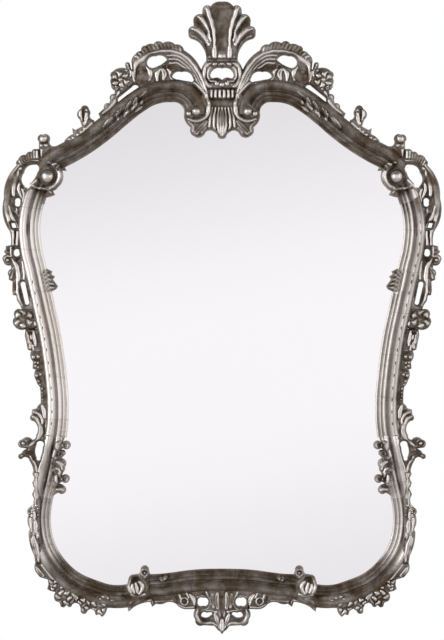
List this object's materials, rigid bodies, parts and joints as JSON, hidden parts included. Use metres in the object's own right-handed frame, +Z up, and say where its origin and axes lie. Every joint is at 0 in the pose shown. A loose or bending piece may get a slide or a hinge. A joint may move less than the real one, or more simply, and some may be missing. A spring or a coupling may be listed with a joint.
{
  "type": "silver leaf mirror",
  "caption": "Carved rococo wall mirror in silver leaf, with a shell crest, pierced scrolls and flowers round a shaped glass.",
  "frame": {"origin": "on the wall plane at the rear face of the back board, on the centre line, about halfway up the glass", "axes": "+Z up the mirror, +X to the viewer's right, front faces -Y, rear rests on the wall at Y = 0"},
  "size_m": [0.8588, 0.0522, 1.2364],
  "materials": {
    "silver_leaf": "silver leaf over carved wood, burnished and toned",
    "mirror_glass": "polished",
    "packing_card": "matte",
    "back_board": "plain board",
    "dowel_wood": "plain",
    "zinc_steel": "zinc plated"
  },
  "bodies": {
    "frame": {"bottom_rail": "silver_leaf", "crest_block": "silver_leaf", "crest_cartouche": "silver_leaf", "crest_shell": "silver_leaf", "apron": "silver_leaf", "top_rail_left": "silver_leaf", "top_rail_right": "silver_leaf", "side_stile_left": "silver_leaf", "side_stile_right": "silver_leaf", "lower_corner_left": "silver_leaf", "lower_corner_right": "silver_leaf", "crest_scroll_left": "silver_leaf", "crest_scroll_right": "silver_leaf", "crest_flower_left": "silver_leaf", "crest_flower_right": "silver_leaf", "rail_leaf_spray_left": "silver_leaf", "rail_leaf_spray_right": "silver_leaf", "rail_bud_left": "silver_leaf", "rail_bud_right": "silver_leaf", "shoulder_scroll_left": "silver_leaf", "shoulder_scroll_right": "silver_leaf", "shoulder_volute_left": "silver_leaf", "shoulder_volute_right": "silver_leaf", "side_leaf_left": "silver_leaf", "side_leaf_right": "silver_leaf", "side_shell_left": "silver_leaf", "side_shell_right": "silver_leaf", "side_rose_left": "silver_leaf", "side_rose_right": "silver_leaf", "husk_drop_left": "silver_leaf", "husk_drop_right": "silver_leaf", "waist_scroll_left": "silver_leaf", "waist_scroll_right": "silver_leaf", "waist_volute_left": "silver_leaf", "waist_volute_right": "silver_leaf", "lower_leaf_left": "silver_leaf", "lower_leaf_right": "silver_leaf", "corner_flower_left": "silver_leaf", "corner_flower_right": "silver_leaf", "foot_volute_left": "silver_leaf", "foot_volute_right": "silver_leaf", "foot_sprig_left": "silver_leaf", "foot_sprig_right": "silver_leaf", "apron_wing_left": "silver_leaf", "apron_wing_right": "silver_leaf", "mirror_glass": "mirror_glass", "glass_packing": "packing_card", "back_panel": "back_board", "joint_dowels": "dowel_wood", "crest_dowels": "dowel_wood", "panel_screws": "zinc_steel", "hanger_screws": "zinc_steel", "hanger_strap_left": "zinc_steel", "hanger_strap_right": "zinc_steel"},
    "ring_left": {"hanger_ring_left": "zinc_steel"},
    "ring_right": {"hanger_ring_right": "zinc_steel"}
  },
  "joints": [
    {"name": "ring_left_swing", "type": "hinge", "parent": "frame", "child": "ring_left", "pos_m": [-0.38782, -0.0032, 0.23214], "axis": [1, 0, 0], "range_deg": [0, 175]},
    {"name": "ring_right_swing", "type": "hinge", "parent": "frame", "child": "ring_right", "pos_m": [0.38782, -0.0032, 0.23214], "axis": [1, 0, 0], "range_deg": [0, 175]}
  ]
}
